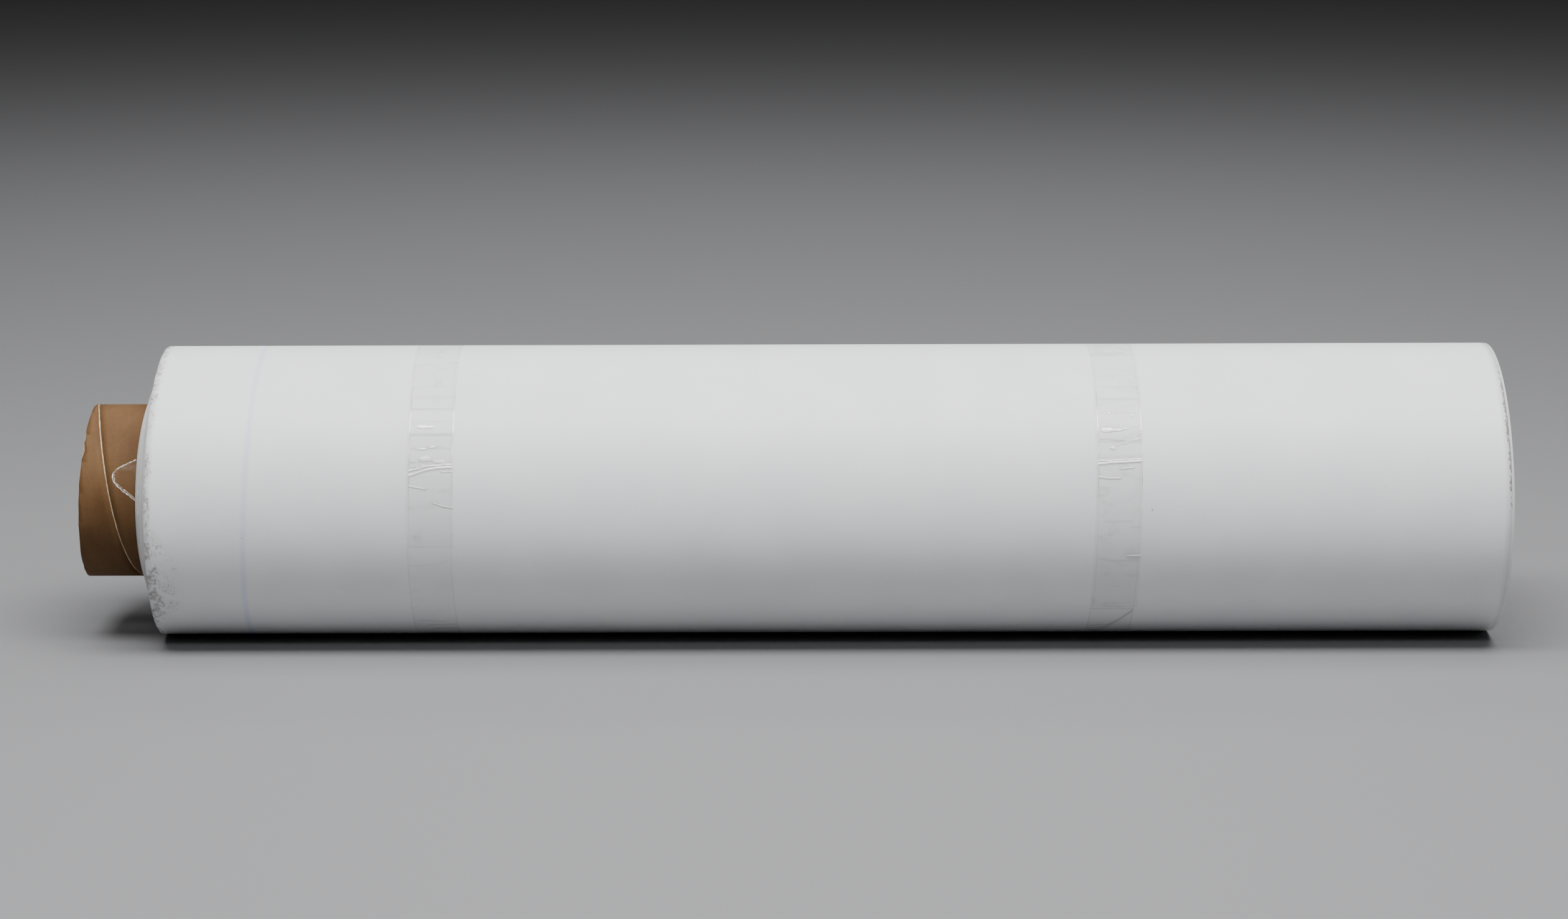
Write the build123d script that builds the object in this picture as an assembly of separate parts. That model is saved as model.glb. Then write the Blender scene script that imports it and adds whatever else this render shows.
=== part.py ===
"""Backdrop paper roll: a wide sheet wound on a spiral-wound board core and held by two bands of clear tape.

Millimetres, +Z up. The roll lies along X. The origin is on the core's axis, halfway along the wound sheet.
The turns have telescoped: the further in a turn lies, the further it has crept towards -X, and the core most.
"""

from build123d import *
import math
import os

# ---- driving dimensions ----
SHEET_WIDTH = 1372.0          # the sheet's width, 54 in, and the core's length
ROLL_RADIUS = 150.0           # outside of the last turn, at its tail
SHEET_THICKNESS = 0.25        # heavy backdrop paper
CORE_BORE_RADIUS = 76.2       # standard 6 in core
CORE_WALL = 13.3
PLY_COUNT = 17                # board liner, grey board plies and brown kraft ply, all of one thickness
CORE_OVERHANG = 79.2          # how far the core stands out past the squared end of the roll
CORE_CUT_SLOPE = 0.05         # the core's left end is sawn off square by this much X per Z
CORE_TO_SHEET_GAP = 0.5       # slack that lets the core creep inside the first turn

TELESCOPE = 21.0              # how far the first turn has crept out past the last ones
SLIDING_GROUPS = 5            # groups of turns that creep, each inside the next
GROUP_GAP = 0.3               # running slack between two groups

WRAP_SHIFT = -2.5             # the last turn lies this far to the left of those under it
FLAT_DEPTH = 0.25             # the roll's own weight presses its underside this much flat
TAIL_ANGLE = 322.0            # where the sheet's free tail lies, from +Y towards +Z
TAIL_STEP_ARC = 0.6           # degrees of the turn below that show beyond the tail

TAPE_WIDTH = 45.0
TAPE_THICKNESS = 0.05
TAPE_WANDER = 2.0             # the second wrap lies this far to the side of the first
BAND_LEFT_X = -425.7          # left edge of each band's first wrap
BAND_RIGHT_X = 265.3
BAND_LEFT_END = 191.0         # angle where each band's second wrap is cut off
BAND_RIGHT_END = 222.0
BAND_SECOND_ARC = 300.0       # degrees that the second wrap covers

START_TAPE_ANGLE = 161.4      # middle of the tapes that hold the sheet's first edge to the core
START_TAPE_LENGTH = 150.0
START_TAPE_STICKS_OUT = 24.3  # how far the left one's torn point reaches past the first turn
START_TAPE_POINT_WIDTH = 7.0

# ---- sizes worked out from them ----
HALF_WIDTH = SHEET_WIDTH / 2
CORE_RADIUS = CORE_BORE_RADIUS + CORE_WALL
CORE_LEFT = -HALF_WIDTH - CORE_OVERHANG
CORE_RIGHT = CORE_LEFT + SHEET_WIDTH
PLY_THICKNESS = CORE_WALL / PLY_COUNT
FIRST_TURN_RADIUS = CORE_RADIUS + CORE_TO_SHEET_GAP
TURNS_RADIUS = ROLL_RADIUS - 2 * SHEET_THICKNESS      # under the last turn, at its thin side
GROUP_THICKNESS = (TURNS_RADIUS - FIRST_TURN_RADIUS) / (SLIDING_GROUPS + 1)
BIG = 4 * SHEET_WIDTH


def along_x(face, left, right):
    """A solid from a face drawn on the YZ plane, running from left to right along X."""
    return Pos(left, 0, 0) * extrude(face, right - left, dir=(1, 0, 0))


def tube(inner, outer, left, right):
    """A plain tube round the X axis."""
    ring = Plane.YZ * Circle(outer) - Plane.YZ * Circle(inner)
    return along_x(ring, left, right)


def on_yz(radius, degrees):
    """The point on the YZ plane at this radius and angle from +Y towards +Z."""
    angle = math.radians(degrees)
    return Vector(0, radius * math.cos(angle), radius * math.sin(angle))


def pressed_disc(disc, radius):
    """A disc on the YZ plane, flattened underneath where it rests on the floor."""
    flat_z = FLAT_DEPTH - radius
    corners = [(0, -radius, flat_z), (0, radius, flat_z), (0, radius, -2 * radius), (0, -radius, -2 * radius)]
    return disc - Face(Wire(Polyline(*corners, close=True).edges()))


def creep(radius):
    """How far the turn at this radius has crept out to the left."""
    return TELESCOPE * (TURNS_RADIUS - radius) / (TURNS_RADIUS - FIRST_TURN_RADIUS)


def crept_turns(inner, outer):
    """Turns between two radii, each lying a little further left than the one round it."""
    corners = [
        (-HALF_WIDTH - creep(inner), 0, inner),
        (-HALF_WIDTH - creep(outer), 0, outer),
        (HALF_WIDTH - creep(outer), 0, outer),
        (HALF_WIDTH - creep(inner), 0, inner),
    ]
    profile = Face(Wire(Polyline(*corners, close=True).edges()))
    return revolve(profile, Axis.X)


def spiral_disc(outer_radius, tail_gap=0.0):
    """A face bounded by one turn of a spiral that gains one sheet thickness, drawn as two half circles.

    outer_radius is its radius at the tail. The turn stops short of closing by tail_gap degrees.
    """
    grow = SHEET_THICKNESS
    far = TAIL_ANGLE + 180
    start = on_yz(outer_radius - grow, TAIL_ANGLE)
    middle = on_yz(outer_radius - grow / 2, far)
    end = on_yz(outer_radius, TAIL_ANGLE)
    first_centre = (start + middle) * 0.5
    second_centre = (middle + end) * 0.5
    first_top = first_centre + on_yz((middle - start).length / 2, TAIL_ANGLE + 90)
    second_top = second_centre + on_yz((end - middle).length / 2, TAIL_ANGLE + 270)
    arcs = [ThreePointArc(start, first_top, middle), ThreePointArc(middle, second_top, end)]
    disc = Face(Wire([*arcs[0].edges(), *arcs[1].edges(), *Line(end, start).edges()]))
    if tail_gap:
        reach = 2 * outer_radius
        wedge = Polyline(
            (0, 0, 0), on_yz(reach, TAIL_ANGLE - tail_gap), on_yz(reach, TAIL_ANGLE), close=True
        )
        disc -= Face(Wire(wedge.edges()))
    return pressed_disc(disc, outer_radius)


def turns_under_last():
    """The outermost group of turns, which stays put, with the spiral step that the last turn starts from."""
    inner = FIRST_TURN_RADIUS + SLIDING_GROUPS * GROUP_THICKNESS
    crept = crept_turns(inner, ROLL_RADIUS)
    spiral = along_x(spiral_disc(ROLL_RADIUS - SHEET_THICKNESS), -BIG / 2, BIG / 2)
    return crept & spiral


def last_turn():
    """The last turn of the sheet, from the step under its tail once round to the tail itself."""
    left = -HALF_WIDTH + WRAP_SHIFT
    outside = along_x(spiral_disc(ROLL_RADIUS, TAIL_STEP_ARC), left, left + SHEET_WIDTH)
    inside = along_x(spiral_disc(ROLL_RADIUS - SHEET_THICKNESS), left - 1, left + SHEET_WIDTH + 1)
    return outside - inside


def tape_band(left, end_angle):
    """One strip of tape, wound once round the roll and then most of a second time, a little to the side."""
    radii = [ROLL_RADIUS + wrap * TAPE_THICKNESS for wrap in range(3)]
    under, middle, over = [pressed_disc(Plane.YZ * Circle(radius), radius) for radius in radii]
    first = along_x(middle - under, left, left + TAPE_WIDTH)
    second_left = left + TAPE_WANDER
    second = along_x(over - middle, second_left, second_left + TAPE_WIDTH)
    reach = 2 * ROLL_RADIUS
    bare = (360 - BAND_SECOND_ARC) / 2
    gap = Polyline(
        (0, 0, 0),
        on_yz(reach, end_angle),
        on_yz(reach / math.cos(math.radians(bare)), end_angle + bare),
        on_yz(reach, end_angle + 2 * bare),
        close=True,
    )
    second -= along_x(Face(Wire(gap.edges())), left - 1, second_left + TAPE_WIDTH + 1)
    return first + second


def sawn(solid):
    """A core ply with its left end sawn on the core's slanting cut."""
    half = BIG / 2
    cut = Polyline(
        (CORE_LEFT - half * CORE_CUT_SLOPE, 0, -half),
        (CORE_LEFT + half * CORE_CUT_SLOPE, 0, half),
        (CORE_LEFT - BIG, 0, half),
        (CORE_LEFT - BIG, 0, -half),
        close=True,
    )
    waste = extrude(Face(Wire(cut.edges())), half, both=True)
    return solid - waste


def core_ply(inner, outer):
    """One ply of the core, from its sawn left end to its square right end."""
    spare = CORE_RADIUS * CORE_CUT_SLOPE + 1
    return sawn(tube(inner, outer, CORE_LEFT - spare, CORE_RIGHT))


def start_tape(left, torn=False):
    """One of the tapes along the sheet's first edge, stuck to the core; a torn one narrows to a point."""
    half_angle = math.degrees(TAPE_WIDTH / 2 / CORE_RADIUS)
    reach = 2 * CORE_RADIUS
    skin = tube(CORE_RADIUS, CORE_RADIUS + TAPE_THICKNESS, left, left + START_TAPE_LENGTH)
    sector = Polyline(
        (0, 0, 0),
        on_yz(reach, START_TAPE_ANGLE - half_angle),
        on_yz(reach, START_TAPE_ANGLE + half_angle),
        close=True,
    )
    strip = skin & along_x(Face(Wire(sector.edges())), left, left + START_TAPE_LENGTH)
    if torn:
        base = left + START_TAPE_STICKS_OUT
        half_point = START_TAPE_POINT_WIDTH / 2
        for side in (-1, 1):
            corner = Polyline(
                (left - 1, side * half_point, 0),
                (left - 1, side * TAPE_WIDTH, 0),
                (base, side * TAPE_WIDTH, 0),
                (base, side * TAPE_WIDTH / 2, 0),
                (left, side * half_point, 0),
                close=True,
            )
            waste = extrude(Face(Wire(corner.edges())), reach, dir=(0, 0, 1))
            strip -= Rot(X=START_TAPE_ANGLE - 90) * waste
    return strip


first_turn_left = -HALF_WIDTH - TELESCOPE
ply_edges = [CORE_BORE_RADIUS + number * PLY_THICKNESS for number in range(PLY_COUNT + 1)]
ply_names = ["core_liner"]
ply_names += [f"core_board_ply_{number:02d}" for number in range(1, PLY_COUNT - 1)]
ply_names += ["core_outer_ply"]

parts = {
    "start_tape_left": start_tape(first_turn_left - START_TAPE_STICKS_OUT, torn=True),
    "start_tape_middle": start_tape((CORE_LEFT + CORE_RIGHT - START_TAPE_LENGTH) / 2),
    "start_tape_right": start_tape(CORE_RIGHT - START_TAPE_LENGTH),
    "outer_turns": turns_under_last(),
    "last_turn": last_turn(),
    "tape_band_left": tape_band(BAND_LEFT_X, BAND_LEFT_END),
    "tape_band_right": tape_band(BAND_RIGHT_X, BAND_RIGHT_END),
}
for name, inner, outer in zip(ply_names, ply_edges, ply_edges[1:]):
    parts[name] = core_ply(inner, outer)
for number in range(1, SLIDING_GROUPS + 1):
    inner = FIRST_TURN_RADIUS + (number - 1) * GROUP_THICKNESS
    parts[f"inner_turns_{number}"] = crept_turns(inner, inner + GROUP_THICKNESS - GROUP_GAP)

os.makedirs("parts", exist_ok=True)
for name, shape in parts.items():
    export_step(shape, f"parts/{name}.step")
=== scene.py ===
import bmesh
import bpy
import math
from mathutils import Matrix, Vector, noise


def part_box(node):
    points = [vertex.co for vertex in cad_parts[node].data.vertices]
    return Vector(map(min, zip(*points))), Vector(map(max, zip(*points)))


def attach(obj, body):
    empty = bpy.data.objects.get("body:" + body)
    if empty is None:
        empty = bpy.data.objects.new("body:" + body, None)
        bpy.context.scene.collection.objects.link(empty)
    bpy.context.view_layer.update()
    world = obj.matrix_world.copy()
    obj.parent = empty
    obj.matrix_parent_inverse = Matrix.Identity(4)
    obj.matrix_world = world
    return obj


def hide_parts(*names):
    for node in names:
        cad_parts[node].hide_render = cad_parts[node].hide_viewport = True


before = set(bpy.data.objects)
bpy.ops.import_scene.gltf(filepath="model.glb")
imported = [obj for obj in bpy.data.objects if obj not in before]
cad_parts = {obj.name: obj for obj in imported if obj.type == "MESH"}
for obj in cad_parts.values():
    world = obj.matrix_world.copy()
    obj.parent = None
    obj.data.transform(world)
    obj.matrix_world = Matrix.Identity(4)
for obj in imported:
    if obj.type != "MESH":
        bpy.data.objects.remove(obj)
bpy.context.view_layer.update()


# The core's board liner and grey board plies: strips of raw board, wound in a spiral and glued one on
# another. The saw cut at the left end shows them as rings. Turns of angle are counted from the -Y side,
# upwards positive.
CORE_LOW, CORE_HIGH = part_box("core_outer_ply")
CORE_RADIUS = CORE_HIGH.z
PLY_THICKNESS = 0.0133 / 17
CORE_BORE_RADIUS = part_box("core_liner")[1].z - PLY_THICKNESS
PLY_PITCH = 0.103             # how far a strip of ply climbs along the core in one turn
SEAM_AT_FRONT = 0.0338        # from the sawn end to the outer ply's seam, on the -Y side


def feed(tree, value, socket):
    """Links a socket's value in, or sets it where it is a plain number, colour or vector."""
    if isinstance(value, bpy.types.NodeSocket):
        tree.links.new(value, socket)
    else:
        socket.default_value = value


def calc(tree, operation, *values):
    """A Math node on these values."""
    node = tree.nodes.new("ShaderNodeMath")
    node.operation = operation
    for value, socket in zip(values, node.inputs):
        feed(tree, value, socket)
    return node.outputs[0]


def mixed(tree, *shares):
    """The sum of values, each times its own share."""
    total = calc(tree, "MULTIPLY", *shares[0])
    for value, share in shares[1:]:
        total = calc(tree, "ADD", total, calc(tree, "MULTIPLY", value, share))
    return total


def fade(tree, value, low, high):
    """0 where the value is at low, 1 where it is at high, and smooth between."""
    node = tree.nodes.new("ShaderNodeMapRange")
    node.interpolation_type = "SMOOTHSTEP"
    for socket, given in zip(node.inputs, (value, low, high)):
        feed(tree, given, socket)
    return node.outputs[0]


def blend_colour(tree, share, first, second):
    """The first colour where the share is 0, the second where it is 1."""
    node = tree.nodes.new("ShaderNodeMix")
    node.data_type = "RGBA"
    sockets = [s for s in node.inputs if s.enabled]
    for value, socket in zip((share, first, second), sockets):
        feed(tree, value, socket)
    return next(s for s in node.outputs if s.enabled)


def stretched(tree, vector, x, y, z):
    """The vector times a factor along each axis."""
    node = tree.nodes.new("ShaderNodeVectorMath")
    node.operation = "MULTIPLY"
    feed(tree, vector, node.inputs[0])
    node.inputs[1].default_value = (x, y, z)
    return node.outputs[0]


def cloud(tree, vector, scale, detail=3.0, roughness=0.5):
    """Noise around 0.5."""
    node = tree.nodes.new("ShaderNodeTexNoise")
    for label, value in (("Vector", vector), ("Scale", scale), ("Detail", detail), ("Roughness", roughness)):
        feed(tree, value, node.inputs[label])
    return node.outputs["Fac"]


def bump(tree, height, depth, strength=1.0):
    """A normal from a height of 0 to 1 that is depth metres deep."""
    node = tree.nodes.new("ShaderNodeBump")
    feed(tree, height, node.inputs["Height"])
    node.inputs["Distance"].default_value = depth
    node.inputs["Strength"].default_value = strength
    return node.outputs["Normal"]


def shader_group(name, inputs, outputs):
    """An empty node group: its tree, the sockets of its inputs and of its outputs."""
    tree = bpy.data.node_groups.new(name, "ShaderNodeTree")
    for label, value in inputs.items():
        socket = tree.interface.new_socket(label, in_out="INPUT", socket_type="NodeSocketFloat")
        socket.default_value = value
    for label, kind in outputs.items():
        tree.interface.new_socket(label, in_out="OUTPUT", socket_type=kind)
    return tree, tree.nodes.new("NodeGroupInput").outputs, tree.nodes.new("NodeGroupOutput").inputs


def place_group(tree, group, **values):
    """Puts a node group in a material and gives its outputs."""
    node = tree.nodes.new("ShaderNodeGroup")
    node.node_tree = group
    for label, value in values.items():
        feed(tree, value, node.inputs[label])
    return node.outputs


def new_material(name, roughness, specular=0.5):
    """A material and its tree and main shader."""
    material = bpy.data.materials.new(name)
    material.use_nodes = True
    shader = material.node_tree.nodes["Principled BSDF"]
    shader.inputs["Roughness"].default_value = roughness
    shader.inputs["Specular IOR Level"].default_value = specular
    return material, material.node_tree, shader.inputs


# Where a point lies on the roll: along it, out from the axis, and round it in turns.
roll_place, _, outs = shader_group(
    "roll_place",
    {},
    {
        "Point": "NodeSocketVector",
        "Along": "NodeSocketFloat",
        "Radius": "NodeSocketFloat",
        "Turn": "NodeSocketFloat",
    },
)
point = roll_place.nodes.new("ShaderNodeTexCoord").outputs["Object"]
split = roll_place.nodes.new("ShaderNodeSeparateXYZ")
feed(roll_place, point, split.inputs[0])
along, across, upward = split.outputs
squares = [calc(roll_place, "POWER", side, 2.0) for side in (across, upward)]
angle = calc(roll_place, "ARCTAN2", upward, calc(roll_place, "MULTIPLY", across, -1.0))
feed(roll_place, point, outs["Point"])
feed(roll_place, along, outs["Along"])
feed(roll_place, calc(roll_place, "SQRT", calc(roll_place, "ADD", *squares)), outs["Radius"])
feed(roll_place, calc(roll_place, "DIVIDE", angle, 2 * math.pi), outs["Turn"])

# Paper and board fibres: a fine felt, with a slower cloudiness under it.
fibres, ins, outs = shader_group(
    "fibres",
    {"Fineness": 900.0, "Cloudiness": 30.0},
    {"Felt": "NodeSocketFloat", "Cloud": "NodeSocketFloat"},
)
point = fibres.nodes.new("ShaderNodeTexCoord").outputs["Object"]
felt = cloud(fibres, stretched(fibres, point, 1.0, 0.45, 0.45), ins["Fineness"], 4.0, 0.65)
feed(fibres, felt, outs["Felt"])
feed(fibres, cloud(fibres, point, ins["Cloudiness"], 3.0, 0.55), outs["Cloud"])


def board_material(name, dark, light, seam_shift):
    """Raw board, lighter or darker from ply to ply, with each ply's groove where its strip's edges meet."""
    material, tree, shader = new_material(name, 0.85, 0.25)
    place = place_group(tree, roll_place)
    felt, clouds = place_group(tree, fibres, Fineness=1400.0, Cloudiness=60.0)
    ply = calc(tree, "DIVIDE", calc(tree, "SUBTRACT", place["Radius"], CORE_BORE_RADIUS), PLY_THICKNESS)
    inside = calc(tree, "FRACT", ply)
    shade = tree.nodes.new("ShaderNodeTexWhiteNoise")
    shade.noise_dimensions = "1D"
    feed(tree, calc(tree, "FLOOR", calc(tree, "ADD", ply, 0.02)), shade.inputs["W"])
    climb = calc(tree, "ADD", calc(tree, "DIVIDE", place["Along"], PLY_PITCH), place["Turn"])
    own_shift = calc(tree, "MULTIPLY_ADD", shade.outputs["Value"], 5.0, seam_shift)
    across_strip = calc(tree, "FRACT", calc(tree, "ADD", climb, own_shift))
    seam = fade(tree, calc(tree, "ABSOLUTE", calc(tree, "SUBTRACT", across_strip, 0.5)), 0.006, 0.012)
    glue = fade(tree, calc(tree, "ABSOLUTE", calc(tree, "SUBTRACT", inside, 0.5)), 0.36, 0.5)
    tone = mixed(tree, (shade.outputs["Value"], 0.45), (clouds, 0.4), (felt, 0.25))
    colour = blend_colour(tree, tone, dark, light)
    colour = blend_colour(tree, calc(tree, "MULTIPLY", glue, 0.35), colour, (0.10, 0.075, 0.05, 1))
    feed(tree, blend_colour(tree, seam, (0.07, 0.05, 0.033, 1), colour), shader["Base Color"])
    height = calc(tree, "MULTIPLY", calc(tree, "ADD", felt, calc(tree, "MULTIPLY", seam, 2.0)), 0.4)
    feed(tree, bump(tree, height, 0.0004), shader["Normal"])
    return material


def dress(node, material):
    """Gives a CAD node its material."""
    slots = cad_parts[node].data.materials
    slots.clear()
    slots.append(material)


board = board_material("grey_board", (0.150, 0.110, 0.075, 1), (0.300, 0.235, 0.170, 1), 0.3)
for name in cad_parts:
    if name.startswith("core_board_ply"):
        dress(name, board)
dress("core_liner", board_material("board_liner", (0.170, 0.115, 0.070, 1), (0.300, 0.215, 0.140, 1), 0.75))


# The core's outer ply: a strip of brown kraft wound in a spiral with a narrow gap between its turns. The
# paler glue and ply below show in the gap as a thin line. The left end is sawn, a little off square, and
# has taken knocks.
SEAM_GAP = 0.0013
KRAFT_THICKNESS = 0.00030
GLUE_DEPTH = 0.00018          # below the kraft's surface
GLUE_THICKNESS = 0.00040
SAW_SLOPE = 0.05              # how much further right the sawn end lies for each unit of height
SAW_MIDDLE = CORE_LOW.x + CORE_RADIUS * SAW_SLOPE
DENT_TURN = 0.115             # where round the sawn end a dent was knocked into it
DENT_WIDTH = 0.035
DENT_DEPTH = 0.0022
STEPS_A_TURN = 120
KRAFT_DARK = (0.100, 0.048, 0.017, 1)
KRAFT_LIGHT = (0.146, 0.078, 0.032, 1)
KRAFT_STAIN = (0.080, 0.035, 0.013, 1)
GLUE_DARK = (0.30, 0.21, 0.115, 1)
GLUE_PALE = (0.58, 0.45, 0.27, 1)


def finish_piece(bm, name, body, slot, material, *nodes):
    """Makes a bmesh an object that rides on a body, stands for CAD nodes and takes the material; the slot
    argument is not used.
    """
    mesh = bpy.data.meshes.new(name)
    bm.to_mesh(mesh)
    bm.free()
    mesh.shade_smooth()
    mesh.materials.append(material)
    piece = bpy.data.objects.new(name, mesh)
    bpy.context.scene.collection.objects.link(piece)
    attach(piece, body)
    if nodes:
        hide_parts(*nodes)
    return piece


def thicken(piece, thickness):
    """Gives a thin skin its thickness, inwards."""
    solid = piece.modifiers.new("thickness", "SOLIDIFY")
    solid.thickness = thickness
    solid.offset = -1


def turn_of(co):
    """How far round the roll a point lies, in turns from the -Y side, upwards positive."""
    return math.atan2(co.z, -co.y) / (2 * math.pi)


def on_roll(x, radius, turn):
    """The point this far along, out from the axis and round."""
    angle = 2 * math.pi * turn
    return Vector((x, -radius * math.cos(angle), radius * math.sin(angle)))


def spiral_strip(left, right, radius, columns):
    """A strip between two distances from its own seam, wound round the core and cut off at both ends."""
    first = SAW_MIDDLE + SEAM_AT_FRONT - 2 * PLY_PITCH
    turns = math.ceil((CORE_HIGH.x - first) / PLY_PITCH) + 1
    bm = bmesh.new()
    bmesh.ops.create_grid(bm, x_segments=columns, y_segments=turns * STEPS_A_TURN, size=0.5)
    for vert in bm.verts:
        across, wound = vert.co.x + 0.5, (vert.co.y + 0.5) * turns
        frayed = 0.0003 * noise.noise(Vector((wound * 260, across * 9, 0)))
        x = first + PLY_PITCH * wound + left + (right - left) * across
        vert.co = on_roll(x + frayed * (2 * across - 1) ** 8, radius, -wound)
    for point, away in (
        ((SAW_MIDDLE, 0, 0), (-1, 0, SAW_SLOPE)),
        ((CORE_HIGH.x, 0, 0), (1, 0, 0)),
    ):
        everything = bm.verts[:] + bm.edges[:] + bm.faces[:]
        bmesh.ops.bisect_plane(bm, geom=everything, plane_co=point, plane_no=away, clear_outer=True)
    for vert in bm.verts:
        from_cut = vert.co.x - SAW_MIDDLE - SAW_SLOPE * vert.co.z
        near = max(0.0, 1 - from_cut / 0.012)
        turn = turn_of(vert.co)
        dent = math.exp(-(((turn - DENT_TURN) / DENT_WIDTH) ** 2)) * (0.6 + 0.4 * math.sin(turn * 190))
        ragged = noise.noise(vert.co * 90) * 0.0006
        vert.co.x += near * (DENT_DEPTH * dent + ragged)
        vert.co.y, vert.co.z = Vector((vert.co.y, vert.co.z)) * (1 - 0.006 * near * dent)
    bmesh.ops.recalc_face_normals(bm, faces=bm.faces[:])
    return bm


def kraft_material():
    """Brown kraft paper: fibres, slow clouds, faint streaks along the winding and a few darker stains."""
    material, tree, shader = new_material("brown_kraft", 0.72, 0.22)
    place = place_group(tree, roll_place)
    felt, clouds = place_group(tree, fibres, Fineness=1100.0, Cloudiness=26.0)
    streaks = cloud(tree, stretched(tree, place["Point"], 150.0, 24.0, 24.0), 1.0, 3.0)
    stain = fade(tree, cloud(tree, stretched(tree, place["Point"], 30.0, 12.0, 12.0), 1.0, 2.0), 0.50, 0.72)
    tone = fade(tree, mixed(tree, (felt, 0.42), (clouds, 0.42), (streaks, 0.16)), 0.32, 0.68)
    colour = blend_colour(tree, tone, KRAFT_DARK, KRAFT_LIGHT)
    colour = blend_colour(tree, calc(tree, "MULTIPLY", stain, 0.35), colour, KRAFT_STAIN)
    feed(tree, colour, shader["Base Color"])
    height = calc(tree, "ADD", felt, calc(tree, "MULTIPLY", streaks, 0.4))
    feed(tree, bump(tree, height, 0.00018), shader["Normal"])
    return material


def glue_line_material():
    """The pale line in the gap: dried glue and the fuzzy edges of the strip."""
    material, tree, shader = new_material("glue_line", 0.6, 0.4)
    felt, clouds = place_group(tree, fibres, Fineness=1600.0, Cloudiness=160.0)
    tone = fade(tree, mixed(tree, (felt, 0.5), (clouds, 0.5)), 0.38, 0.6)
    feed(tree, blend_colour(tree, tone, GLUE_DARK, GLUE_PALE), shader["Base Color"])
    feed(tree, bump(tree, felt, 0.0003), shader["Normal"])
    return material


kraft = kraft_material()
strip = spiral_strip(SEAM_GAP / 2, PLY_PITCH - SEAM_GAP / 2, CORE_RADIUS, 14)
outer_ply = finish_piece(strip, "core_outer_ply_strip", "core", "brown_kraft", kraft, "core_outer_ply")
thicken(outer_ply, KRAFT_THICKNESS)
line = spiral_strip(-SEAM_GAP, SEAM_GAP, CORE_RADIUS - GLUE_DEPTH, 4)
glue_line = finish_piece(line, "core_seam_line", "core", "brown_kraft", glue_line_material())
thicken(glue_line, GLUE_THICKNESS)


# The short clear tapes that hold the sheet's first edge to the core. The left one has pulled out from
# under the first turn and ends in a torn point, and its torn edges have rolled up; their white is a painted
# highlight.
FIRST_TURN_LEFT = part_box("inner_turns_1")[0].x
POINT_MIDDLE = 0.0515         # turns round the core
POINT_HALF_WIDTH = 0.039      # where it passes under the first turn
POINT_REACH = 0.0240          # how far its tip stands out past the first turn
EDGE_HEIGHT = 0.00040         # of the rolled edge; it stays under the first turn when the core goes home
EDGE_LIMIT = 0.00041
EDGE_WIDTH = 0.0014
FILM_ON_CORE = 0.00006        # the flat film's height over the core
START_FILM_THICKNESS = 0.00004
# The white of the rolled edges: a painted highlight.
HIGHLIGHT_WHITE = (0.93, 0.90, 0.86, 1)


def film_material(name, tint, clear, highlighted):
    """Clear film: nearly unseen where it lies flat; where it has creases or tears it is more solid and
    painted white as a highlight.
    """
    material, tree, shader = new_material(name, 0.12, 0.6)
    crease_highlight = tree.nodes.new("ShaderNodeAttribute")
    crease_highlight.attribute_name = "crease_highlight"
    white = crease_highlight.outputs["Fac"]
    place = place_group(tree, roll_place)
    patchy = cloud(tree, stretched(tree, place["Point"], 60.0, 60.0, 60.0), 1.0, 3.0)
    darker = tuple(0.93 * channel for channel in tint[:3]) + (1,)
    colour = blend_colour(tree, fade(tree, patchy, 0.42, 0.62), tint, darker)
    feed(tree, blend_colour(tree, white, colour, HIGHLIGHT_WHITE), shader["Base Color"])
    feed(tree, calc(tree, "ADD", clear, calc(tree, "MULTIPLY", white, highlighted - clear)), shader["Alpha"])
    shader["Coat Weight"].default_value = 1.0
    shader["Coat Roughness"].default_value = 0.06
    ripple = cloud(tree, stretched(tree, place["Point"], 220.0, 150.0, 150.0), 1.0, 2.0)
    feed(tree, bump(tree, ripple, 0.00008), shader["Normal"])
    return material


core_film = film_material("start_tape_film", (0.40, 0.26, 0.15, 1), 0.04, 0.97)
for name in ("start_tape_middle", "start_tape_right"):
    dress(name, core_film)

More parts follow.
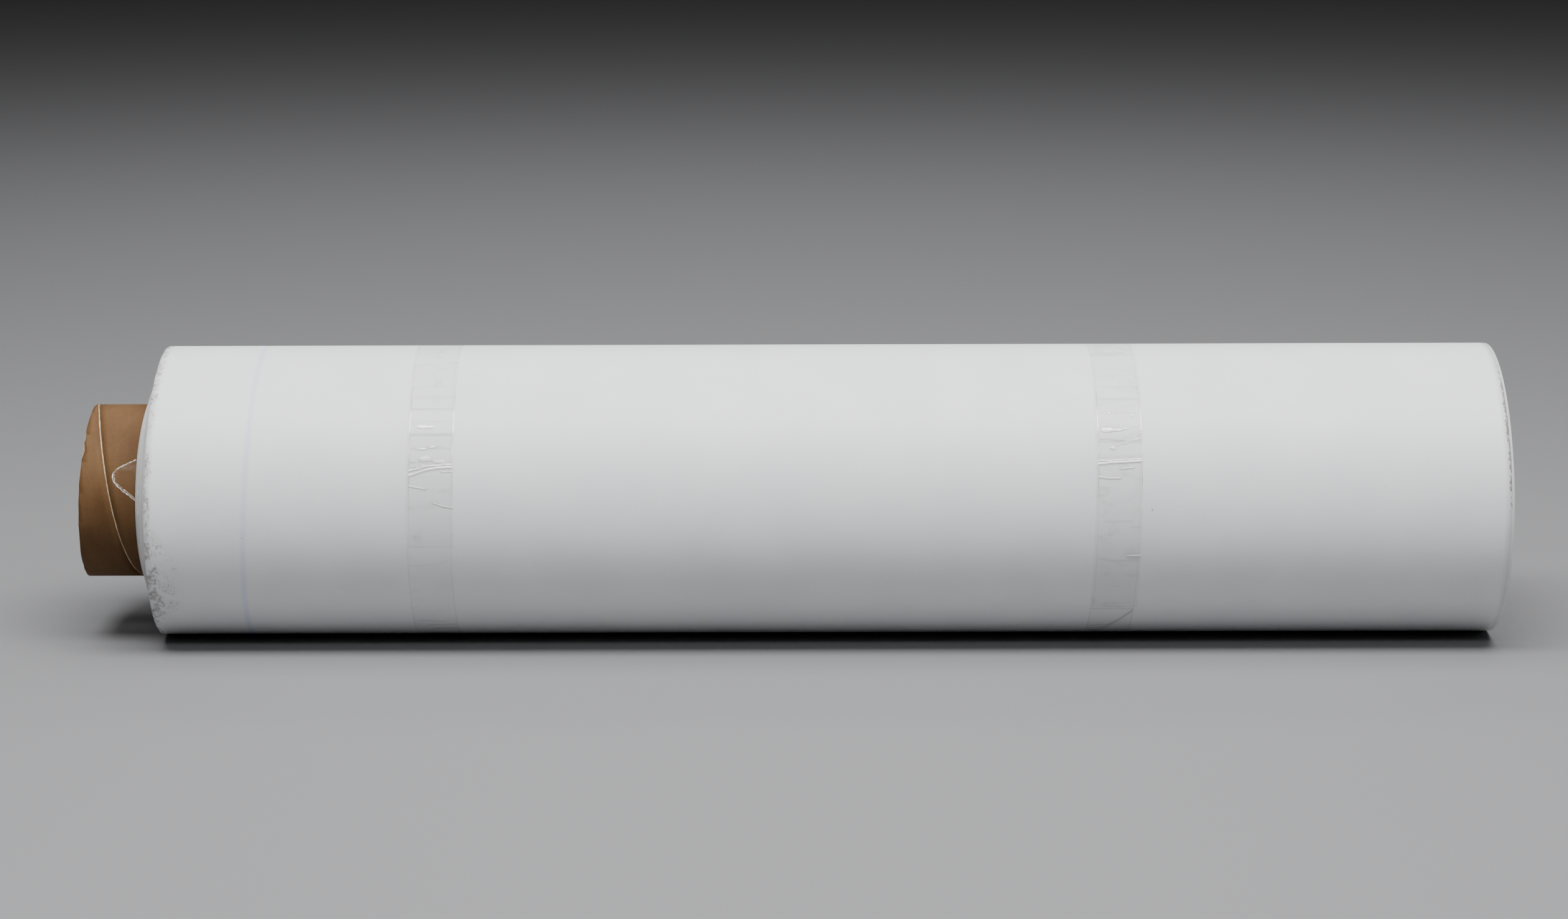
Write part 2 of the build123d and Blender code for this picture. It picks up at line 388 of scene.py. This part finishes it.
bm = bmesh.new()
crease_highlight = bm.verts.layers.float.new("crease_highlight")
bmesh.ops.create_grid(bm, x_segments=150, y_segments=130, size=0.5)
tape_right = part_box("start_tape_left")[1].x
for vert in bm.verts:
    out, side = 0.5 - vert.co.x, 2 * vert.co.y          # 0 at the far end to 1 at the tip; -1 to 1 across
    side *= 1.5 - 0.5 * abs(side)                       # the columns crowd towards both edges
    x = tape_right + (FIRST_TURN_LEFT - POINT_REACH - tape_right) * out ** 0.3
    past = max(0.0, (FIRST_TURN_LEFT - x) / POINT_REACH)
    half = POINT_HALF_WIDTH * (1 - 0.70 * past) * math.sqrt(max(0.0, 1 - past ** 9))
    kink = noise.noise(Vector((x * 330, side * 3, 0))) * min(1.0, past * 6)
    turn = POINT_MIDDLE + 0.006 * past + side * half + 0.0020 * kink
    from_edge = (1 - abs(side)) * half * 2 * math.pi * CORE_RADIUS
    nearest = min(from_edge, x - (FIRST_TURN_LEFT - POINT_REACH))
    rim = math.exp(-((nearest / EDGE_WIDTH - 0.55) ** 2) * 3.2)
    second = 0.8 * math.exp(-((nearest / EDGE_WIDTH - 2.0) ** 2) * 9) if side < 0 else 0.0
    crumple = max(0.0, noise.noise(Vector((x * 620, turn * 420, 3)))) * max(0.0, past - 0.72) * 4
    broken = 0.74 + 0.85 * noise.noise(Vector((x * 430, turn * 110, 7)))
    rolled = max(0.0, min(1.0, max(rim, second, crumple) * broken)) * min(1.0, past * 60)
    # The rolled edges and the crumpled tip are painted white as a highlight.
    vert[crease_highlight] = rolled
    vert.co = on_roll(x, CORE_RADIUS + min(FILM_ON_CORE + EDGE_HEIGHT * rolled, EDGE_LIMIT), turn)
bmesh.ops.recalc_face_normals(bm, faces=bm.faces[:])
point = finish_piece(bm, "start_tape_left_torn", "core", "clear_tape", core_film, "start_tape_left")
thicken(point, -START_FILM_THICKNESS)                   # outwards, away from the core


# The turns of the sheet: hundreds of layers of paper in six groups. Each cut edge lies a little off its
# neighbours', and the inner ones have crept out to the left with the core. The right end of the outermost
# group stands out past the last turn and shows a narrow strip of its plain skin there.
GROUPS = [f"inner_turns_{n}" for n in range(1, 6)]
ROLL_RADIUS = 0.150
GROUP_GAP = 0.0003            # slack between two groups
LAYER_STEP = 0.00075          # three sheets of paper share each modelled edge
LEFT_SKEW = 0.0254            # how far each end plane leans, per unit of height
RIGHT_SKEW = -0.0153
EDGE_STEPS = 288
WOBBLE = 0.00032
SKIN_RADIUS = ROLL_RADIUS - 0.0005
SKIN_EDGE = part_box("last_turn")[1].x - 0.0012
RING_DARK = (0.40, 0.397, 0.39, 1)
RING_PALE = (0.74, 0.74, 0.735, 1)
GRIME = (0.27, 0.25, 0.22, 1)
CHIP_WHITE = (0.93, 0.93, 0.92, 1)
SKIN_WHITE = (0.90, 0.905, 0.915, 1)
DUST_DARK = (0.05, 0.047, 0.042, 1)


def lean(x, z):
    """How far an end's skew shifts a point at this place along the roll."""
    return z * (LEFT_SKEW if x < 0 else RIGHT_SKEW)


def layer_shift(radius, co, end):
    """How far one layer's edge lies off its neighbours', a little different all the way round."""
    layer = round(radius / LAYER_STEP)
    own = noise.noise(Vector((layer * 7.31, end * 5.0, 0)))
    round_it = noise.noise(Vector((co.y * 9, co.z * 9, layer * 0.6 + end * 40)))
    return WOBBLE * (2.2 * own + 1.6 * round_it)


def wound_turns(inner, outer, left_at, right_at):
    """A ring of turns with stepped, uneven ends. left_at and right_at give each end's place for a radius."""
    layers = max(2, round((outer - inner) / LAYER_STEP))
    radii = [inner + (outer - inner) * n / layers for n in range(layers + 1)]
    outline = []                                        # each edge's end, radius and layer, round the section
    for n in range(layers):
        outline += [(0, radii[n], n), (0, radii[n + 1], n)]
    for n in reversed(range(layers)):
        outline += [(1, radii[n + 1], n), (1, radii[n], n)]
    bm = bmesh.new()
    bmesh.ops.create_grid(bm, x_segments=len(outline), y_segments=EDGE_STEPS, size=0.5)
    for vert in bm.verts:
        end, radius, layer = outline[round((vert.co.x + 0.5) * len(outline)) % len(outline)]
        middle = (radii[layer] + radii[layer + 1]) / 2
        x = (right_at if end else left_at)(middle)
        co = on_roll(x, radius, round((vert.co.y + 0.5) * EDGE_STEPS) % EDGE_STEPS / EDGE_STEPS)
        co.x += layer_shift(middle, co, end) + lean(x, co.z)
        vert.co = co
    bmesh.ops.remove_doubles(bm, verts=bm.verts[:], dist=1e-7)
    bmesh.ops.recalc_face_normals(bm, faces=bm.faces[:])
    return bm


def paper_edge_material():
    """The cut edges of the wound paper: fine light and dark rings, grime, chips where they were knocked
    white, and the last turn but one's plain skin where it stands out past the last."""
    material, tree, shader = new_material("wound_paper_edge", 0.70, 0.3)
    place = place_group(tree, roll_place)
    felt, clouds = place_group(tree, fibres, Fineness=1500.0, Cloudiness=30.0)
    rings = cloud(tree, calc(tree, "MULTIPLY", place["Radius"], 1500.0), 1.0, 4.0, 0.8)
    slow = cloud(tree, calc(tree, "MULTIPLY", place["Radius"], 300.0), 1.0, 2.0)
    tone = fade(tree, mixed(tree, (rings, 0.60), (slow, 0.25), (clouds, 0.15)), 0.38, 0.60)
    colour = blend_colour(tree, tone, RING_DARK, RING_PALE)
    grime = calc(tree, "MULTIPLY", fade(tree, clouds, 0.58, 0.78), 0.30)
    colour = blend_colour(tree, grime, colour, GRIME)
    chips = tree.nodes.new("ShaderNodeTexVoronoi")
    feed(tree, stretched(tree, place["Point"], 60.0, 130.0, 130.0), chips.inputs["Vector"])
    chips.inputs["Scale"].default_value = 1.0
    chosen = tree.nodes.new("ShaderNodeSeparateColor")
    feed(tree, chips.outputs["Color"], chosen.inputs[0])
    chip = fade(tree, chips.outputs["Distance"], 0.34, 0.16)
    chip = calc(tree, "MULTIPLY", chip, fade(tree, chosen.outputs[0], 0.90, 0.93))
    colour = blend_colour(tree, chip, colour, CHIP_WHITE)
    skin = fade(tree, place["Radius"], SKIN_RADIUS - 0.0002, SKIN_RADIUS)
    split = tree.nodes.new("ShaderNodeSeparateXYZ")
    feed(tree, place["Point"], split.inputs[0])
    beside = calc(tree, "MULTIPLY_ADD", split.outputs[2], RIGHT_SKEW, SKIN_EDGE)
    beside = calc(tree, "ABSOLUTE", calc(tree, "SUBTRACT", place["Along"], beside))
    upper = fade(tree, calc(tree, "ABSOLUTE", calc(tree, "SUBTRACT", place["Turn"], 0.10)), 0.15, 0.03)
    dust = cloud(tree, stretched(tree, place["Point"], 300.0, 170.0, 170.0), 1.0, 4.0, 0.7)
    dust = fade(tree, calc(tree, "MULTIPLY_ADD", upper, 0.26, dust), 0.60, 0.70)
    dust = calc(tree, "MULTIPLY", dust, fade(tree, beside, 0.0015, 0.0008))
    plain = blend_colour(tree, dust, SKIN_WHITE, DUST_DARK)
    feed(tree, blend_colour(tree, skin, colour, plain), shader["Base Color"])
    height = calc(tree, "ADD", rings, calc(tree, "MULTIPLY", felt, 0.4))
    height = calc(tree, "MULTIPLY", height, calc(tree, "SUBTRACT", 1.0, skin))
    feed(tree, bump(tree, height, 0.0004), shader["Normal"])
    return material


paper_edge = paper_edge_material()
turns_low, turns_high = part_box("outer_turns")
group_boxes = [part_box(name) for name in GROUPS]
group_step = (group_boxes[-1][1].z - group_boxes[0][1].z) / (len(GROUPS) - 1)
first_inner = group_boxes[0][1].z - group_step + GROUP_GAP
group_inner = [first_inner + n * group_step for n in range(len(GROUPS) + 1)]
CREEP = (turns_low.x - group_boxes[0][0].x) / (group_inner[-1] - first_inner)
for n, name in enumerate(GROUPS):
    low, high = group_boxes[n]
    start = group_inner[n]
    ring = wound_turns(
        start,
        high.z,
        lambda radius, low=low, start=start: low.x + (radius - start) * CREEP,
        lambda radius, high=high, outer=high.z: high.x - (outer - radius) * CREEP,
    )
    finish_piece(ring, f"{name}_layers", f"turns_{n + 1}", "wound_paper_edge", paper_edge, name)
ring = wound_turns(
    group_inner[-1],
    SKIN_RADIUS,
    lambda radius: turns_low.x + (radius - group_inner[-1]) * CREEP,
    lambda radius: turns_high.x - (SKIN_RADIUS - radius) * CREEP,
)
finish_piece(ring, "outer_turns_layers", "roll", "wound_paper_edge", paper_edge, "outer_turns")


# The last turn of the sheet: white backdrop paper, smooth and faintly cloudy. A soft blue guide line runs
# round it near the left edge. Its edges are scuffed and dirty, and its tail lies free at the back, held by
# the two bands of tape.
LAST_LOW, LAST_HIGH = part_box("last_turn")
SHEET_THICKNESS = 0.00025
TAIL_TURN = (180 - 322) / 360 + 1      # where the tail lies, in turns round the roll
TAIL_STEP = 0.6 / 360
FLAT_Z = LAST_LOW.z
PAPER_DULL = (0.785, 0.797, 0.820, 1)
PAPER_WHITE = (0.825, 0.835, 0.852, 1)
GUIDE_BLUE = (0.58, 0.64, 0.82, 1)
GUIDE_X = -0.5902             # the guide line's place on the axis, and how it leans upwards and to the back
GUIDE_LEAN_UP = 0.0543
GUIDE_LEAN_BACK = -0.0107
SPECK_DARK = (0.16, 0.15, 0.13, 1)
DIRT_BROWN = (0.20, 0.18, 0.145, 1)


def sheet_radius(share):
    """The last turn's outside radius, from its start under the tail to the tail itself."""
    return ROLL_RADIUS - SHEET_THICKNESS * (1 - share)


def paper_material():
    """White backdrop paper, with its guide line, specks and the dirt along both edges."""
    material, tree, shader = new_material("white_paper", 0.48, 0.42)
    place = place_group(tree, roll_place)
    felt, clouds = place_group(tree, fibres, Fineness=1300.0, Cloudiness=14.0)
    point, along = place["Point"], place["Along"]
    split = tree.nodes.new("ShaderNodeSeparateXYZ")
    feed(tree, point, split.inputs[0])
    tone = fade(tree, mixed(tree, (clouds, 0.6), (felt, 0.4)), 0.38, 0.62)
    colour = blend_colour(tree, tone, PAPER_DULL, PAPER_WHITE)

    guide = calc(tree, "MULTIPLY_ADD", split.outputs[2], GUIDE_LEAN_UP, GUIDE_X)
    guide = calc(tree, "MULTIPLY_ADD", split.outputs[1], GUIDE_LEAN_BACK, guide)
    off_guide = calc(tree, "ABSOLUTE", calc(tree, "SUBTRACT", along, guide))
    patchy = cloud(tree, stretched(tree, point, 16.0, 22.0, 22.0), 1.0, 2.0)
    inked = calc(tree, "MULTIPLY_ADD", patchy, 0.5, 0.55)
    line = calc(tree, "MULTIPLY", fade(tree, off_guide, 0.0052, 0.0), inked)
    colour = blend_colour(tree, calc(tree, "MULTIPLY", line, 0.62), colour, GUIDE_BLUE)

    spots = tree.nodes.new("ShaderNodeTexVoronoi")
    feed(tree, point, spots.inputs["Vector"])
    spots.inputs["Scale"].default_value = 34.0
    chosen = tree.nodes.new("ShaderNodeSeparateColor")
    feed(tree, spots.outputs["Color"], chosen.inputs[0])
    size = calc(tree, "MULTIPLY", chosen.outputs[1], 0.026)
    speck = fade(tree, calc(tree, "SUBTRACT", spots.outputs["Distance"], size), 0.012, 0.0)
    speck = calc(tree, "MULTIPLY", speck, fade(tree, chosen.outputs[0], 0.80, 0.86))
    colour = blend_colour(tree, calc(tree, "MULTIPLY", speck, 0.65), colour, SPECK_DARK)

    left_edge = calc(tree, "MULTIPLY_ADD", split.outputs[2], LEFT_SKEW, LAST_LOW.x)
    right_edge = calc(tree, "MULTIPLY_ADD", split.outputs[2], RIGHT_SKEW, LAST_HIGH.x)
    from_left = calc(tree, "SUBTRACT", along, left_edge)
    from_right = calc(tree, "SUBTRACT", right_edge, along)
    smear = cloud(tree, stretched(tree, point, 70.0, 60.0, 60.0), 1.0, 3.0, 0.6)
    grit = cloud(tree, stretched(tree, point, 330.0, 240.0, 240.0), 1.0, 4.0, 0.7)
    low_front = fade(tree, calc(tree, "ABSOLUTE", calc(tree, "ADD", place["Turn"], 0.078)), 0.095, 0.02)
    close = fade(tree, from_left, calc(tree, "MULTIPLY_ADD", low_front, 0.032, 0.010), 0.0)
    wear = calc(tree, "MULTIPLY", close, calc(tree, "MULTIPLY_ADD", low_front, 0.65, 0.35))
    wear = calc(tree, "MAXIMUM", wear, calc(tree, "MULTIPLY", fade(tree, from_left, 0.011, 0.002), 0.80))
    film = calc(tree, "MULTIPLY", wear, fade(tree, smear, 0.42, 0.66))
    ticks = fade(tree, calc(tree, "MULTIPLY_ADD", wear, 0.22, grit), 0.64, 0.74)
    patches = calc(tree, "MULTIPLY", fade(tree, wear, 0.0, 0.25), fade(tree, smear, 0.38, 0.54))
    ticks = calc(tree, "MULTIPLY", ticks, patches)
    dirt = calc(tree, "MAXIMUM", calc(tree, "MULTIPLY", film, 0.42), calc(tree, "MULTIPLY", ticks, 0.85))
    close = fade(tree, from_right, 0.0055, 0.0)
    upper = fade(tree, calc(tree, "ABSOLUTE", calc(tree, "SUBTRACT", place["Turn"], 0.10)), 0.13, 0.04)
    rim = fade(tree, calc(tree, "MULTIPLY_ADD", calc(tree, "MULTIPLY", close, upper), 0.30, grit), 0.66, 0.76)
    dirt = calc(tree, "MAXIMUM", dirt, calc(tree, "MULTIPLY", rim, fade(tree, close, 0.0, 0.3)))
    colour = blend_colour(tree, calc(tree, "MULTIPLY", dirt, 0.80), colour, DIRT_BROWN)
    feed(tree, colour, shader["Base Color"])
    feed(tree, calc(tree, "MULTIPLY_ADD", dirt, 0.3, 0.46), shader["Roughness"])
    height = calc(tree, "ADD", felt, calc(tree, "MULTIPLY", clouds, 0.6))
    feed(tree, bump(tree, height, 0.00010), shader["Normal"])
    return material


paper = paper_material()
ALONG_STEPS, ROUND_STEPS = 66, 720
bm = bmesh.new()
bmesh.ops.create_grid(bm, x_segments=ALONG_STEPS, y_segments=ROUND_STEPS, size=0.5)
for vert in bm.verts:
    along, share = vert.co.x + 0.5, vert.co.y + 0.5
    along -= 0.10 * math.sin(2 * math.pi * along)       # the columns crowd towards both edges
    x = LAST_LOW.x + (LAST_HIGH.x - LAST_LOW.x) * along
    turn = TAIL_TURN - share * (1 - TAIL_STEP)
    radius = sheet_radius(share)
    near_edge = math.exp(-min(x - LAST_LOW.x, LAST_HIGH.x - x) / 0.02)
    co = on_roll(x, radius, turn)
    x += near_edge * 0.0003 * noise.noise(co * 60) + lean(x, co.z) * abs(2 * along - 1) ** 3
    radius += 0.00012 * noise.noise(co * 4.0) + 0.00008 * near_edge * noise.noise(co * 40)
    co = on_roll(x, radius, turn)
    co.z = max(co.z, FLAT_Z)
    vert.co = co
bmesh.ops.recalc_face_normals(bm, faces=bm.faces[:])
last_turn = finish_piece(bm, "last_turn_paper", "roll", "white_paper", paper, "last_turn")
thicken(last_turn, SHEET_THICKNESS)


# The two bands of clear packing tape: one strip each, wound once round and then most of a second time a
# little to the side. The film was pulled off its roll in jerks, which left faint bars, and it has creases
# and trapped air.
TAPE_WIDTH = 0.045
TAPE_WANDER = 0.002
FILM_LIFT = 0.00008           # each wrap's height over the one below it
FILM_THICKNESS = 0.00005
FILM_PALE = (0.74, 0.75, 0.71, 1)
FILM_DULL = (0.62, 0.62, 0.58, 1)
# Grey of the bars and smudges, and painted shade along the edges and flattened creases.
FILM_BAR_AND_SHADE = (0.44, 0.435, 0.405, 1)
# Painted highlight: the white of creases, bubbles and the edges in the gleam.
CREASE_HIGHLIGHT = (0.97, 0.97, 0.965, 1)


def bell(value, centre, width):
    """A smooth bump of height 1."""
    return math.exp(-(((value - centre) / width) ** 2))


class Fold:
    """A fold in the film: it starts and ends at shares of the width, and runs between two angles. One
    with a height below zero lies flattened, and its line is painted dark as shade."""

    def __init__(self, start, end, from_angle, to_angle, height, width, curve=0.0):
        self.start, self.end = start, end
        self.from_angle, self.to_angle = from_angle, to_angle
        self.height, self.width, self.curve = height, width, curve

    def lift(self, across, angle):
        """The film's lift here, from 0 to the fold's height."""
        share = (across - self.start) / (self.end - self.start)
        middle = self.from_angle + (self.to_angle - self.from_angle) * share
        if not -0.1 < share < 1.1 or abs(angle - middle) > abs(self.curve) + 3 * self.width:
            return 0.0
        ends = min(1.0, max(0.0, (share + 0.05) * 12)) * min(1.0, max(0.0, (1.05 - share) * 12))
        middle += self.curve * math.sin(math.pi * share) + 0.25 * noise.noise(Vector((across * 7, middle, 0)))
        return self.height * ends * bell(angle, middle, self.width)


class Bubble:
    """A flat blister of air under the film."""

    def __init__(self, across, angle, size, tall, height):
        self.across, self.angle, self.size, self.tall, self.height = across, angle, size, tall, height

    def lift(self, across, angle):
        """The film's lift here, with an uneven outline."""
        if abs(angle - self.angle) > 2 * self.tall:
            return 0.0
        wander = 0.45 * noise.noise(Vector((across * 22, angle * 1.6, self.angle)))
        far = math.hypot((across - self.across) / self.size, (angle - self.angle) / self.tall) + wander
        return self.height * max(0.0, 1 - far ** 3) if far < 1 else 0.0


def band_of_tape(name, left, end_angle, marks, bars_from, bar_step, run_out):
    """A band: its left edge, the angle where its second wrap is cut off, its creases and bubbles, where its
    bars start and how far apart they are, and how far it runs out of true."""
    angles = [end_angle + 60]
    while angles[-1] < end_angle + 720:
        fine = angles[-1] >= end_angle + 360 and 85 <= angles[-1] % 360 <= 252
        angles.append(min(angles[-1] + (0.2 if fine else 1.5), end_angle + 720))
    columns, rows = 40, len(angles) - 1
    bm = bmesh.new()
    layers = {label: bm.verts.layers.float.new(label) for label in ("crease_highlight", "shade")}
    bmesh.ops.create_grid(bm, x_segments=columns, y_segments=rows, size=0.5)
    for vert in bm.verts:
        share = vert.co.x + 0.5
        across = share - 0.11 * math.sin(2 * math.pi * share)       # the columns crowd towards both edges
        angle = angles[round((vert.co.y + 0.5) * rows)]
        over = min(1.0, max(0.0, (angle - end_angle - 409) / 22))
        x = left + TAPE_WIDTH * across + TAPE_WANDER * over + run_out * math.sin(math.radians(angle) - 0.6)
        around = angle % 360
        lifts = [mark.lift(across, around) for mark in marks] if angle >= end_angle + 360 else []
        raised = sum(lift for lift in lifts if lift > 0)
        shaded_crease = -sum(lift for lift in lifts if lift < 0)
        height = raised * min(1.0, 0.2 + raised / 0.0005) + 0.3 * shaded_crease
        radius = ROLL_RADIUS + FILM_LIFT * (1 + over) + min(height, 0.0009)
        edge = max(bell(across, 0.012, 0.016), bell(across, 0.988, 0.016))
        # gleam: a painted highlight along the film's edges where they face the front lights.
        gleam = bell(around, 148, 15) * over
        cut = bell(angle, end_angle + 720, 0.35)
        bar = bell(((around - bars_from) / bar_step + 0.5) % 1, 0.5, 0.09)
        bar *= bell(around, bars_from + 1.5 * bar_step, 14)
        smudge = noise.noise(Vector((across * 2.6, around * 0.30, left * 5)))
        smudge *= 0.6 + 0.8 * noise.noise(Vector((across * 9, around * 1.3, left)))
        # The creases and bubbles, and the edges in the gleam, are painted white as a highlight.
        vert[layers["crease_highlight"]] = min(1.0, raised / 0.00020 + gleam * edge)
        # Painted shade: grey along the edges away from the gleam and along the flattened creases; the bars
        # and smudges are marks in the film, and the cut end shows as a grey line.
        shade = 0.30 * edge * (1 - gleam) + 0.40 * cut + 0.80 * bar * over + shaded_crease / 0.00036
        vert[layers["shade"]] = min(1.0, shade + 0.80 * max(0.0, smudge - 0.12) * (0.4 + 0.6 * over))
        co = on_roll(x, radius, (180 - angle) / 360)
        co.z = max(co.z, FLAT_Z - FILM_LIFT * (1 + over))
        vert.co = co
    bmesh.ops.recalc_face_normals(bm, faces=bm.faces[:])
    piece = finish_piece(bm, f"{name}_film", "roll", "clear_tape", band_film, name)
    thicken(piece, FILM_THICKNESS)


def band_film_material():
    """Clear tape on white paper: a faint warm cast, painted highlight white at creases, grey at bars and
    smudges, painted shade grey at edges and flattened creases.
    """
    material, tree, shader = new_material("tape_band_film", 0.13, 0.5)
    values = {}
    for label in ("crease_highlight", "shade"):
        node = tree.nodes.new("ShaderNodeAttribute")
        node.attribute_name = label
        values[label] = node.outputs["Fac"]
    place = place_group(tree, roll_place)
    patchy = cloud(tree, stretched(tree, place["Point"], 60.0, 40.0, 40.0), 1.0, 3.0)
    colour = blend_colour(tree, fade(tree, patchy, 0.38, 0.64), FILM_PALE, FILM_DULL)
    # The shade attribute greys the bars and smudges, and paints shade at the edges and flattened creases.
    colour = blend_colour(tree, fade(tree, values["shade"], 0.0, 0.35), colour, FILM_BAR_AND_SHADE)
    # Painted highlight: white where the film has creases and bubbles, and at the edges in the gleam.
    colour = blend_colour(tree, fade(tree, values["crease_highlight"], 0.1, 0.5), colour, CREASE_HIGHLIGHT)
    feed(tree, colour, shader["Base Color"])
    solid = calc(tree, "MAXIMUM", values["crease_highlight"], calc(tree, "MULTIPLY", values["shade"], 0.16))
    feed(tree, calc(tree, "MULTIPLY_ADD", solid, 0.90, 0.020), shader["Alpha"])
    shader["IOR"].default_value = 1.9
    shader["Coat Weight"].default_value = 0.5
    shader["Coat Roughness"].default_value = 0.10
    return material


band_film = band_film_material()
band_of_tape(
    "tape_band_left",
    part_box("tape_band_left")[0].x,
    191.0,
    [
        Fold(0.00, 1.00, 162.9, 159.6, 0.00050, 0.38, -0.9),
        Fold(0.00, 1.00, 161.1, 158.6, 0.00042, 0.28, -0.8),
        Fold(0.74, 1.00, 161.3, 161.3, 0.00030, 0.20),
        Fold(0.02, 0.40, 166.6, 168.0, 0.00042, 0.25, 0.2),
        Fold(0.56, 1.00, 173.2, 175.2, 0.00042, 0.25, 0.3),
        Bubble(0.36, 143.4, 0.22, 0.75, 0.00028),
        Bubble(0.30, 152.4, 0.15, 0.50, 0.00026),
        Bubble(0.54, 151.6, 0.13, 0.50, 0.00026),
        Bubble(0.70, 151.0, 0.03, 0.30, 0.00022),
        Bubble(0.38, 156.3, 0.17, 1.40, 0.00036),
        Bubble(0.70, 157.4, 0.14, 0.80, 0.00034),
        Bubble(0.10, 157.3, 0.09, 0.25, 0.00026),
        Bubble(0.12, 159.4, 0.06, 0.40, 0.00024),
        Bubble(0.32, 159.0, 0.05, 0.40, 0.00024),
        Bubble(0.24, 136.6, 0.05, 0.35, 0.00018),
        # Folds with a height below zero: creases painted dark as shade.
        Fold(0.20, 0.95, 93.2, 93.2, -0.00022, 0.45),
        Fold(0.45, 0.60, 104.5, 104.5, -0.00026, 0.50),
        Fold(0.02, 0.90, 199.0, 197.0, -0.00010, 0.40, 0.8),
        Fold(0.30, 0.95, 236.2, 235.4, -0.00024, 0.45),
        Fold(0.10, 0.75, 231.8, 232.4, -0.00018, 0.40),
        Fold(0.45, 0.98, 240.6, 240.0, -0.00030, 0.50),
    ],
    bars_from=135.4,
    bar_step=5.6,
    run_out=0.0010,
)
band_of_tape(
    "tape_band_right",
    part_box("tape_band_right")[0].x,
    222.0,
    [
        Fold(0.00, 1.00, 158.9, 157.7, 0.00050, 0.34),
        Fold(0.00, 1.00, 157.9, 156.9, 0.00040, 0.22),
        Fold(0.02, 0.50, 164.0, 164.4, 0.00042, 0.25, 0.2),
        Fold(0.50, 0.80, 160.9, 160.4, 0.00030, 0.24),
        Fold(0.33, 0.95, 151.8, 149.0, 0.00022, 0.24),
        Fold(0.05, 0.60, 148.8, 149.6, 0.00012, 0.20),
        Fold(0.68, 1.00, 195.4, 195.0, 0.00042, 0.25),
        Bubble(0.22, 145.3, 0.17, 1.00, 0.00034),
        Bubble(0.44, 145.5, 0.15, 0.50, 0.00028),
        Bubble(0.62, 144.9, 0.07, 0.40, 0.00030),
        Bubble(0.28, 138.0, 0.035, 0.50, 0.00030),
        Bubble(0.80, 139.0, 0.035, 0.50, 0.00030),
        Bubble(0.34, 152.6, 0.07, 0.75, 0.00032),
        # Folds with a height below zero: creases painted dark as shade.
        Fold(0.10, 0.75, 101.4, 100.6, -0.00024, 0.50),
        Fold(0.00, 0.90, 103.2, 102.6, -0.00024, 0.45),
        Fold(0.05, 0.95, 196.4, 197.0, -0.00012, 0.50, 0.8),
        Fold(0.15, 0.80, 181.2, 181.0, -0.00012, 0.40),
        Fold(0.74, 1.00, 183.4, 183.4, -0.00016, 0.35),
        Fold(0.02, 0.95, 223.2, 223.4, -0.00022, 0.35),
        Fold(0.98, 0.10, 224.4, 249.0, -0.00040, 0.90),
        Fold(0.02, 0.40, 238.5, 238.0, -0.00018, 0.40),
        Fold(0.02, 0.50, 242.5, 241.5, -0.00020, 0.45),
    ],
    bars_from=131.5,
    bar_step=6.2,
    run_out=0.0016,
)


# Stage: a plain pale floor and four soft lights: a large one above and in front of the roll, a narrow one
# below it that makes the tape gleam, one right above the roll, and a weak one on the floor behind.
FLOOR_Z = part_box("tape_band_left")[0].z
bm = bmesh.new()
bmesh.ops.create_grid(bm, x_segments=1, y_segments=1, size=25)
bmesh.ops.translate(bm, verts=bm.verts[:], vec=(0, 0, FLOOR_Z))
mesh = bpy.data.meshes.new("floor")
bm.to_mesh(mesh)
bm.free()
floor = bpy.data.objects.new("floor", mesh)
bpy.context.scene.collection.objects.link(floor)
floor_paint, tree, shader = new_material("floor_paint", 0.85, 0.2)
shader["Base Color"].default_value = (0.215, 0.216, 0.222, 1)
mesh.materials.append(floor_paint)


def soft_light(name, place, aim, size, power):
    """A large plain soft light."""
    lamp = bpy.data.lights.new(name, "AREA")
    lamp.shape = "RECTANGLE"
    lamp.size, lamp.size_y = size
    lamp.energy = power
    light = bpy.data.objects.new(name, lamp)
    bpy.context.scene.collection.objects.link(light)
    light.location = place
    light.rotation_euler = (Vector(aim) - Vector(place)).to_track_quat("-Z", "Y").to_euler()


soft_light("front_light", (0, -1.4, 3.2), (0, 0, 0), (4.0, 1.1), 240)
soft_light("gleam_light", (0, -2.6, 2.3), (0, 0, 0), (3.5, 0.4), 30)
soft_light("overhead_light", (0, 0, 3.2), (0, 0, 0), (4.0, 1.6), 75)
soft_light("floor_light", (0, 3.0, 3.0), (0, 3.6, 0), (5.0, 1.4), 60)
world = bpy.data.worlds.new("studio")
bpy.context.scene.world = world
world.use_nodes = True
world.node_tree.nodes["Background"].inputs["Color"].default_value = (0.66, 0.65, 0.64, 1)
world.node_tree.nodes["Background"].inputs["Strength"].default_value = 0.04

# Camera: a long lens a little above the roll's axis, just left of its middle.
camera = bpy.data.cameras.new("camera")
camera.sensor_width = 36
camera.lens = 83.33
viewpoint = bpy.data.objects.new("camera", camera)
bpy.context.scene.collection.objects.link(viewpoint)
yaw, pitch, roll = (math.radians(a) for a in (-0.122, 11.544, -0.172))
viewpoint.matrix_world = (
    Matrix.Translation((-0.0383, -3.70245, 0.7869))
    @ Matrix.Rotation(-yaw, 4, "Z")
    @ Matrix.Rotation(math.pi / 2 - pitch, 4, "X")
    @ Matrix.Rotation(roll, 4, "Z")
)
bpy.context.scene.camera = viewpoint
